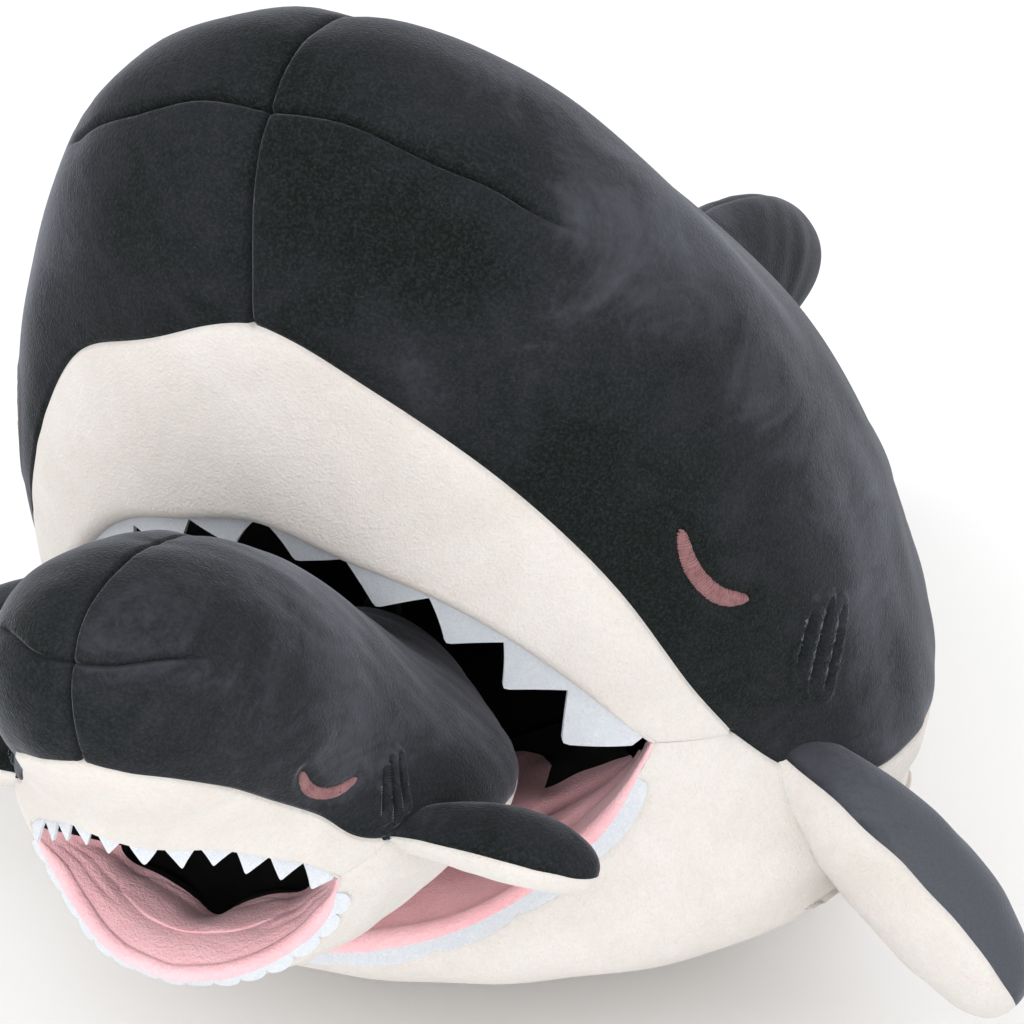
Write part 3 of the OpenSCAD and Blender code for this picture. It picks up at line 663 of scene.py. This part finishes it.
class Shader:
    """Adds nodes to one material."""

    def __init__(self, name):
        self.material = bpy.data.materials.new(name)
        self.material.use_nodes = True
        self.tree = self.material.node_tree
        self.surface = self.tree.nodes["Principled BSDF"]
        self.coordinates = self.add("ShaderNodeTexCoord").outputs["Object"]

    def add(self, kind, **inputs):
        node = self.tree.nodes.new(kind)
        for key, value in inputs.items():
            self.set(node.inputs[key.replace("_", " ")], value)
        return node

    def set(self, socket, value):
        if isinstance(value, bpy.types.NodeSocket):
            self.tree.links.new(value, socket)
        else:
            socket.default_value = value

    def noise(self, scale, detail=3.0, rough=0.55, twist=0.0, stretch=(1, 1, 1)):
        mapping = self.add("ShaderNodeMapping", Vector=self.coordinates, Scale=stretch)
        return self.add("ShaderNodeTexNoise", Vector=mapping.outputs[0], Scale=scale, Detail=detail,
                        Roughness=rough, Distortion=twist).outputs["Fac"]

    def ramp(self, value, *stops):
        node = self.add("ShaderNodeValToRGB", Fac=value)
        ends = node.color_ramp.elements
        while len(ends) < len(stops):
            ends.new(0.5)
        for e, (place, colour) in zip(ends, stops):
            e.position = place
            e.color = (*colour, 1) if hasattr(colour, "__len__") else (colour, colour, colour, 1)
        return node.outputs["Color"]

    def mix(self, share, a, b):
        node = self.add("ShaderNodeMix")
        node.data_type = "RGBA"
        for index, value in ((0, share), (6, a), (7, b)):
            if isinstance(value, tuple):
                value = (*value, 1)
            self.set(node.inputs[index], value)
        return node.outputs[2]

    def maths(self, how, a, b):
        node = self.add("ShaderNodeMath")
        node.operation = how
        self.set(node.inputs[0], a)
        self.set(node.inputs[1], b)
        return node.outputs[0]

    def nap_and_painted_sheen(self, painted_flank_sheen, up):
        """Painted sheen lighter high on the flanks, and painted light lighter on top, than over the forehead.
        """
        start, width, rise = 0.155, 0.04, 0.25
        # Painted sheen: lighter where the flanks stand wide and high
        place = self.add("ShaderNodeSeparateXYZ", Vector=self.coordinates)
        wide = self.maths("ADD", self.maths("ABSOLUTE", place.outputs[0], 0),
                          self.maths("MULTIPLY", place.outputs[2], rise))
        wide = self.maths("DIVIDE", self.maths("SUBTRACT", wide, start), width)
        wide = self.maths("MINIMUM", self.maths("MAXIMUM", wide, 0), 1)
        # Painted light: surfaces facing up are lightened by the height of their normal
        facing = self.add("ShaderNodeTexCoord").outputs["Normal"]
        top = self.add("ShaderNodeSeparateXYZ", Vector=facing).outputs[2]
        return self.maths("ADD", self.maths("MULTIPLY", wide, painted_flank_sheen), self.maths("MULTIPLY", top, up))

    def bump(self, height, distance, strength=1.0, under=None):
        node = self.add("ShaderNodeBump", Height=height, Distance=distance, Strength=strength)
        if under is not None:
            self.set(node.inputs["Normal"], under)
        return node.outputs["Normal"]

    def finish(self, colour, bump, roughness, **sockets):
        self.set(self.surface.inputs["Base Color"], colour)
        self.set(self.surface.inputs["Normal"], bump)
        self.set(self.surface.inputs["Roughness"], roughness)
        for key, value in sockets.items():
            self.set(self.surface.inputs[key.replace("_", " ")], value)
        return self.material


def charcoal_plush():
    s = Shader("charcoal_plush")
    broad = s.noise(7.5, 2, 0.45, 0.5)
    nap_and_painted_sheen = s.noise(34, 4, 0.65, 1.6, (1, 0.55, 1))
    curls = s.noise(150, 3, 0.6, 2.0)
    pile = s.noise(950, 2, 0.6)
    fibre = s.noise(2300, 1, 0.5)
    mottle_and_painted_sheen = s.maths("ADD", s.maths("MULTIPLY", broad, 0.7), s.maths("MULTIPLY", nap_and_painted_sheen, 0.22))
    mottle_and_painted_sheen = s.maths("ADD", mottle_and_painted_sheen, s.maths("MULTIPLY", curls, 0.08))
    # Painted sheen on the flanks and painted light on top, added to the random mottle
    mottle_and_painted_sheen = s.maths("ADD", mottle_and_painted_sheen, s.nap_and_painted_sheen(0.13, 0.09))
    mottle_and_painted_sheen = s.maths("SUBTRACT", mottle_and_painted_sheen, 0.085)
    # The ramp's light end colours the painted sheen as well as the lighter mottle
    colour = s.ramp(mottle_and_painted_sheen, (0.38, (0.0060, 0.0085, 0.0070)), (0.50, (0.018, 0.020, 0.023)),
                    (0.66, (0.085, 0.089, 0.106)))
    colour = s.mix(s.ramp(pile, (0.42, 0.0), (0.70, 0.28)), colour, (0.050, 0.051, 0.062))
    colour = s.mix(s.ramp(fibre, (0.70, 0.0), (0.80, 0.25)), colour, (0.20, 0.20, 0.22))
    bump = s.bump(curls, 0.0004, 0.4)
    bump = s.bump(pile, 0.0005, 0.6, bump)
    return s.finish(colour, bump, 0.92, Sheen_Weight=0.4, Sheen_Roughness=0.28,
                    Sheen_Tint=(0.80, 0.82, 0.92, 1), Specular_IOR_Level=0.08)


def pale_plush(name, low, high, sheen):
    s = Shader(name)
    nap = s.noise(13, 3, 0.6, 1.2)
    curls = s.noise(170, 3, 0.6, 1.5)
    pile = s.noise(1050, 2, 0.6)
    colour = s.ramp(s.maths("ADD", s.maths("MULTIPLY", nap, 0.7), s.maths("MULTIPLY", curls, 0.3)),
                    (0.36, low), (0.62, high))
    colour = s.mix(s.ramp(pile, (0.30, 0.16), (0.62, 0.0)), colour, tuple(0.72 * c for c in low))
    bump = s.bump(curls, 0.0007, 0.5)
    bump = s.bump(pile, 0.0007, 0.7, bump)
    return s.finish(colour, bump, 0.9, Sheen_Weight=sheen, Sheen_Roughness=0.5,
                    Specular_IOR_Level=0.15, Subsurface_Weight=0.12, Subsurface_Scale=0.004)


def black_lining():
    s = Shader("black_lining")
    weave = s.noise(900, 2, 0.5)
    colour = s.ramp(s.noise(40, 3, 0.6), (0.35, (0.0018, 0.0020, 0.0018)), (0.70, (0.0045, 0.0052, 0.0046)))
    return s.finish(colour, s.bump(weave, 0.0005, 0.6), 0.95, Sheen_Weight=0.03, Specular_IOR_Level=0.05)


def white_felt():
    s = Shader("white_felt")
    tufts = s.noise(420, 4, 0.7, 2.5)
    fibre = s.noise(1500, 3, 0.7, 1.0, (1, 1, 0.35))
    colour = s.ramp(tufts, (0.30, (0.62, 0.66, 0.72)), (0.65, (0.74, 0.77, 0.81)))
    bump = s.bump(fibre, 0.0005, 0.8, s.bump(tufts, 0.0007, 0.5))
    return s.finish(colour, bump, 0.95, Sheen_Weight=0.25, Specular_IOR_Level=0.12,
                    Subsurface_Weight=0.1, Subsurface_Scale=0.003)


def thread(name, low, high, gloss):
    s = Shader(name)
    strand = s.noise(1600, 2, 0.6, 0.5, (1, 1, 0.3))
    patchy = s.noise(120, 2, 0.6)
    colour = s.ramp(s.maths("ADD", s.maths("MULTIPLY", strand, 0.5), s.maths("MULTIPLY", patchy, 0.5)),
                    (0.35, low), (0.65, high))
    return s.finish(colour, s.bump(strand, 0.0003, 0.8), 0.5, Sheen_Weight=0.15, Specular_IOR_Level=gloss)


MATERIALS = {
    "charcoal_plush": charcoal_plush(),
    "cream_plush": pale_plush("cream_plush", (0.66, 0.615, 0.575), (0.73, 0.69, 0.66), 0.12),
    "pink_plush": pale_plush("pink_plush", (0.93, 0.47, 0.51), (0.98, 0.58, 0.62), 0.3),
    "black_lining": black_lining(),
    "white_felt": white_felt(),
    "eye_thread": thread("eye_thread", (0.17, 0.072, 0.076), (0.32, 0.15, 0.155), 0.3),
    "gill_thread": thread("gill_thread", (0.006, 0.007, 0.008), (0.020, 0.021, 0.025), 0.2),
}

# ---------------------------------------------------------------- sewn details


def eye_stitches(shark):
    """Satin stitches side by side across the eye's arc."""
    k = shark.eye_wide / BIG.eye_wide
    rng = np.random.default_rng(8)
    count = 46
    parts = []
    ends = np.linspace(0.0, 1.0, count)
    centre = sample(shark.eye_line, ends)
    along = unit(np.gradient(centre, axis=0))
    up = normal(centre, shark)
    side = np.cross(up, along)
    base = raised(centre, shark)
    for i, t in enumerate(ends):
        wide = shark.eye_wide / 2 * math.sqrt(1.03 - abs(2 * t - 1) ** 4) * rng.uniform(0.93, 1.04)
        x = np.linspace(-1, 1, 9)[:, None]
        arch = (1.4 * k * np.sqrt(np.clip(1 - x ** 2, 0, 1)) - 0.3 * k) + rng.uniform(-0.12, 0.12) * k
        slant = 0.5 * k * x * rng.uniform(0.6, 1.4)
        points = base[i] + x * wide * side[i] + arch * up[i] + slant * along[i]
        parts.append(tube(points, 0.62 * k, 6))
    return joined(parts)


def gill_threads(shark):
    """Dark running stitches down each gill tuck."""
    k = 0.4 + 0.6 * shark.size
    parts = []
    for line in shark.gill_lines:
        for a in np.arange(0.08, 0.9, 0.17):
            p = sample(line, np.linspace(a, a + 0.12, 7))
            up = normal(p, shark)
            arch = np.sin(np.linspace(0, math.pi, 7))[:, None]
            parts.append(tube(raised(p, shark) + up * (arch * 0.9 - 0.2) * k, 0.42 * k))
    return joined(parts)


# ---------------------------------------------------------------- fins

# A fin is its root, tip, turn about its length, half width, half thickness and bow
BIG_FIN = ((133, 22, 107), (222, 30, 24), 57, 33, 22, 4.5)
DORSAL_FIN = ((0, 203, 181), (0, 403, 127), 0, 33, 19, 0)
SMALL_FIN = ((62, 4, -36), (123, 14, -47), 76, 20, 11, 3)
# A tail fin is its middle, half height, sweep of the tips, half width and half thickness
BIG_TAIL = ((0, 412, 42), 28, 16, 24, 9)
SMALL_TAIL = ((0, 160, -52), 21, 8, 14, 5)


def fin_points(fin, u, a):
    """Points of a stuffed fin at shares u of its length and angles a round it."""
    root, tip, turn, wide, deep, bow = fin
    root, tip = np.array(root, float), np.array(tip, float)
    e = unit(tip - root)
    b = unit(np.cross(e, (0, 0, 1)))
    c = np.cross(b, e)
    turn = math.radians(turn)
    edge = math.cos(turn) * c + math.sin(turn) * b
    face = np.cross(edge, e)
    peak, narrow = 0.58, 0.5
    rising = narrow + (1 - narrow) * np.sin(np.clip(u / peak, 0, 1) * math.pi / 2)
    w = np.where(u < peak, rising, np.sqrt(np.clip(1 - ((u - peak) / (1 - peak)) ** 2, 0, 1)))
    k = deep / BIG_FIN[4]
    seam = np.abs(np.sin(a))
    pucker = 0.02 * np.sin(u * 46 + 2 * np.cos(a * 3)) * np.exp(-seam / 0.3) * (1 - np.exp(-seam / 0.12))
    thin = np.sign(np.sin(a)) * (seam ** 1.12) * (1 + pucker * 4)
    gather = 1 - 0.06 * (1 - fade(u, 0.1, 0.32)) * (0.5 + 0.5 * np.sin(a * 7))
    u3, w3 = u[..., None], w[..., None]
    pinch = (1 - 0.045 * np.exp(-((seam / 0.10) ** 2)))[..., None]
    p = root + (tip - root) * u3 + (4 * u * (1 - u) * bow)[..., None] * face
    p = p + wide * w3 * np.cos(a)[..., None] * pinch * edge
    p = p + (deep * w ** 0.8 * thin * gather)[..., None] * face
    return p + 0.5 * k * waves(p, 30 * k, 17)[..., None] * face


def fin_grid(fin, a0, shark, gap, rows=64, sides=40):
    """Half of a fin's cover, from inside the body to the tip."""
    a = math.radians(a0) + np.linspace(0, math.pi, sides + 1)
    lo, hi = np.full(len(a), -0.12), np.full(len(a), 0.9)
    for _ in range(18):
        mid = (lo + hi) / 2
        out = field(fin_points(fin, mid, a), shark) > gap
        hi, lo = np.where(out, mid, hi), np.where(out, lo, mid)
    v = np.sin(np.linspace(0, math.pi / 2, rows + 1))[None]
    return fin_points(fin, hi[:, None] * (1 - v) + 0.9985 * v, a[:, None] + 0 * v)


def fin_half(fin, a0, shark, gap):
    """One cover of a fin, its hidden face towards the filling."""
    grid = fin_grid(fin, a0, shark, gap)
    core = (np.array(fin[0], float) + np.array(fin[1], float)) / 2
    shrink = grid + shark.cloth * unit(core - grid)
    return closed_sheet(grid, shrink)


def tail_grid(tail, a0, reach, rows=70, sides=26):
    """Half of a crescent tail fin, whose root reaches forward into the body."""
    middle, high, sweep, wide, deep = tail
    k = deep / BIG_TAIL[4]
    u = 0.9995 * np.sin(np.linspace(-1, 1, rows + 1) * math.pi / 2)[None]
    a = (math.radians(a0) + np.linspace(0, math.pi, sides + 1))[:, None]
    w = np.clip(1 - u * u, 0, 1) ** 0.4
    seam = np.abs(np.cos(a))
    ripple = 1 + 0.10 * np.sin(u * 16) * seam
    thin = np.sin(a) * (np.abs(np.sin(a)) ** 0.12) * ripple
    root = reach * np.exp(-((u / 0.42) ** 2)) * np.clip(-np.cos(a), 0, 1) ** 1.5
    swell = 1 + 0.9 * np.exp(-((u / 0.35) ** 2)) * np.clip(-np.cos(a) + 0.3, 0, 1)
    return np.array(middle, float) + np.stack([deep * w * thin * swell + 0.4 * k * np.sin(u * 9),
                                               sweep * u * u + wide * w * np.cos(a) - root,
                                               high * u + 0 * a], -1)


def tail_half(tail, a0, shark, reach):
    grid = tail_grid(tail, a0, reach)
    spine = np.array(tail[0], float) + np.stack([0 * grid[..., 0], 0 * grid[..., 1],
                                                 grid[..., 2] - tail[0][2]], -1)
    return closed_sheet(grid, grid + shark.cloth * unit(spine - grid))


# ---------------------------------------------------------------- assembly


def add_fin(shark, name, covers, fin, gap, mirrored=False):
    """A fin's two covers."""
    body = shark.prefix + name
    for cover, a0, slot in covers:
        piece = add_mesh(f"{shark.prefix}{cover}_plush", fin_half(fin, a0, shark, gap), shark, slot, mirrored)
        filling = [body + "_filling"] if cover == covers[0][0] else []
        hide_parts(shark.prefix + cover, *filling)
        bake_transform(piece)


def add_tail(shark, tail, reach):
    for cover, a0 in (("tail_left", 0), ("tail_right", 180)):
        solid = tail_half(tail, a0, shark, reach)
        piece = add_mesh(f"{shark.prefix}{cover}_plush", solid, shark, "charcoal_plush")
        filling = [shark.prefix + "tail_filling"] if cover == "tail_left" else []
        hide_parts(shark.prefix + cover, *filling)
        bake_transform(piece)


def add_skin(shark):
    """Back, band and belly panels, stuffed."""
    heart = np.array(shark.form[1][0], float)
    back = thick(back_grid(shark), shark.cloth, heart)
    band = thick(whole(jaw_grid(shark, True)), shark.cloth, heart)
    belly = thick(whole(jaw_grid(shark, False)), shark.cloth, heart)
    for name, solid, slot, mirrored, nodes in (
            ("back_left", back, "charcoal_plush", False, ("back_left",)),
            ("back_right", back, "charcoal_plush", True, ("back_right",)),
            ("lip_band", band, "cream_plush", False, ("lip_band",)),
            ("belly", belly, "cream_plush", False, ("belly", "filling"))):
        piece = add_mesh(f"{shark.prefix}{name}_plush", solid, shark, slot, mirrored)
        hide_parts(*(shark.prefix + n for n in nodes))
        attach(piece, shark.body)


def add_mouth(shark):
    """Linings, tongue, throat and felt teeth."""
    throat = np.array(shark.throat[0], float)
    high, low = throat + (0, 0, FAR), throat - (0, 0, FAR)
    upper, upper_out = teeth_grid(shark, True)
    lower, lower_out = teeth_grid(shark, False)
    solids = [
        ("palate", joined([thick(pocket_grid(shark, True), shark.cloth, high),
                           thick(pocket_grid(shark, False, start_at=pink_end(shark)), shark.cloth, low),
                           thick(throat_grid(shark), shark.cloth, throat + (0, FAR, 0))]), "black_lining"),
        ("mouth_lining", thick(pocket_grid(shark, False, end_at=pink_end(shark)), shark.cloth, low),
         "pink_plush"),
        ("tongue", closed_sheet(*tongue_grid(shark)), "pink_plush"),
        ("upper_teeth", closed_sheet(upper, upper - shark.felt * upper_out[:, None]), "white_felt"),
        ("lower_teeth", closed_sheet(lower, lower - shark.felt * lower_out[:, None]), "white_felt")]
    for name, solid, slot in solids:
        piece = add_mesh(f"{shark.prefix}{name}_piece", solid, shark, slot)
        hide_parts(shark.prefix + name)
        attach(piece, shark.body)


def add_face(shark):
    """Stitched eyes and gills on both sides."""
    for name, solid, slot in (("eye", eye_stitches(shark), "eye_thread"),
                              ("gills", gill_threads(shark), "gill_thread")):
        for side, mirrored in (("left", False), ("right", True)):
            piece = add_mesh(f"{shark.prefix}{name}_{side}_stitches", solid, shark, slot, mirrored)
            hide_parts(f"{shark.prefix}{name}_{side}")
            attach(piece, shark.body)


def add_stage():
    """Pale floor and soft studio light."""
    floor = bpy.data.meshes.new("floor")
    far = 6.0
    floor.from_pydata([(-far, -far, 0), (far, -far, 0), (far, far, 0), (-far, far, 0)], [], [(0, 1, 2, 3)])
    ground = bpy.data.objects.new("floor", floor)
    bpy.context.scene.collection.objects.link(ground)
    s = Shader("pale_floor")
    tone = s.ramp(s.noise(3, 2), (0.3, (0.90, 0.90, 0.90)), (0.7, (0.93, 0.93, 0.93)))
    floor.materials.append(s.finish(tone, s.bump(s.noise(60, 2), 0.0002, 0.1), 0.9, Specular_IOR_Level=0.1))
    world = bpy.data.worlds.new("studio")
    bpy.context.scene.world = world
    world.use_nodes = True
    world.node_tree.nodes["Background"].inputs[0].default_value = (1, 1, 1, 1)
    world.node_tree.nodes["Background"].inputs[1].default_value = 1.04
    target = Vector((0, -0.04, 0.15))
    for name, place, size, power in (("key", (-0.5, -1.4, 1.5), 1.0, 6), ("side", (1.9, 0.3, 1.2), 1.2, 4),
                                     ("mouth", (0.5, -1.6, 0.45), 0.7, 7), ("back", (0.4, 1.8, 1.5), 1.2, 6)):
        light = bpy.data.lights.new(name, "AREA")
        light.size, light.energy = size, power
        lamp = bpy.data.objects.new(name, light)
        lamp.location = place
        lamp.rotation_mode = "QUATERNION"
        lamp.rotation_quaternion = (target - Vector(place)).to_track_quat("-Z", "Y")
        bpy.context.scene.collection.objects.link(lamp)


def add_camera():
    """Camera in front of the shark, to its left and above, turned slightly off its target."""
    azimuth, elevation, distance = math.radians(25.48), math.radians(24.27), 1.35
    target = Vector((0, -0.0411, 0.180))
    back = Vector((math.sin(azimuth) * math.cos(elevation), -math.cos(azimuth) * math.cos(elevation),
                   math.sin(elevation)))
    camera = bpy.data.cameras.new("camera")
    camera.sensor_width, camera.lens = 36.0, 134.8
    holder = bpy.data.objects.new("camera", camera)
    aim = (-back).to_track_quat("-Z", "Y").to_matrix()
    aim = aim @ Matrix.Rotation(math.radians(-0.714), 3, "Y") @ Matrix.Rotation(math.radians(-1.069), 3, "X")
    holder.matrix_world = Matrix.Translation(target + back * distance) @ aim.to_4x4()
    bpy.context.scene.collection.objects.link(holder)
    bpy.context.scene.camera = holder


add_camera()
for shark in (BIG, PUP):
    prepare(shark)
    add_skin(shark)
    add_mouth(shark)
    add_face(shark)
for mirrored, side in ((False, "left"), (True, "right")):
    covers = ((f"fin_{side}_top", 0, "charcoal_plush"), (f"fin_{side}_under", 180, "cream_plush"))
    add_fin(BIG, f"fin_{side}", covers, BIG_FIN, -5, mirrored)
    add_fin(PUP, f"fin_{side}", covers, SMALL_FIN, -3, mirrored)
add_fin(BIG, "dorsal", (("dorsal_left", 180, "charcoal_plush"), ("dorsal_right", 0, "charcoal_plush")),
        DORSAL_FIN, -5)
add_tail(BIG, BIG_TAIL, 10)
add_tail(PUP, SMALL_TAIL, 6)
add_stage()
bpy.context.scene.view_settings.view_transform = "Standard"
